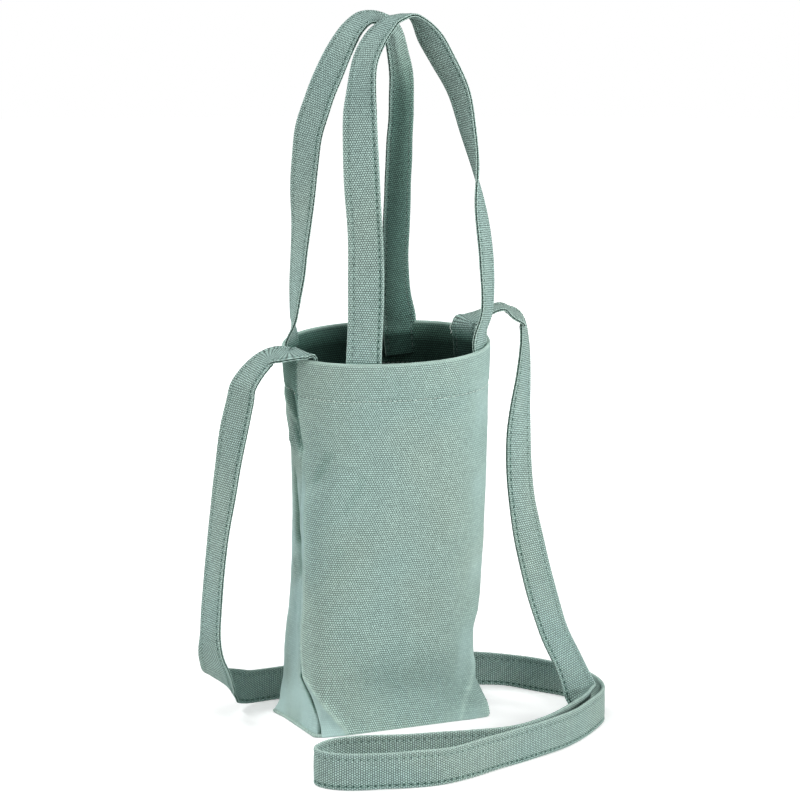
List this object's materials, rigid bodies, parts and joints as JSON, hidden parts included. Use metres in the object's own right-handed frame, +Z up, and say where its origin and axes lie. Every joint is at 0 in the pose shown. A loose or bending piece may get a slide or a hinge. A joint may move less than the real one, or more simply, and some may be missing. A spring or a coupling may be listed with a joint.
{
  "type": "bottle carrier bag",
  "caption": "Tall narrow canvas bottle carrier bag with paired grab handles and a long shoulder strap.",
  "frame": {"origin": "centre of the base's underside, on the floor", "axes": "+Z up, +X towards the side where the shoulder strap stands high over the rim, -Y towards the front face seen in the picture"},
  "size_m": [0.285, 0.2397, 0.5099],
  "materials": {
    "canvas": "matt"
  },
  "bodies": {
    "bag": {"front_panel": "canvas", "back_panel": "canvas", "base_panel": "canvas", "front_hem": "canvas", "back_hem": "canvas", "left_side_seam": "canvas", "right_side_seam": "canvas", "left_corner_seam": "canvas", "right_corner_seam": "canvas", "front_handle_ends": "canvas", "back_handle_ends": "canvas", "shoulder_strap": "canvas"},
    "front_handle_loop": {"front_handle": "canvas"},
    "back_handle_loop": {"back_handle": "canvas"}
  },
  "joints": [
    {"name": "front_handle_fold", "type": "hinge", "parent": "bag", "child": "front_handle_loop", "pos_m": [0.01, -0.056, 0.271], "axis": [0.9958, -0.0569, 0.0711], "range_deg": [0, 170]},
    {"name": "back_handle_fold", "type": "hinge", "parent": "bag", "child": "back_handle_loop", "pos_m": [-0.015, 0.054, 0.27875], "axis": [-0.9964, -0.0443, -0.072], "range_deg": [0, 170]}
  ]
}
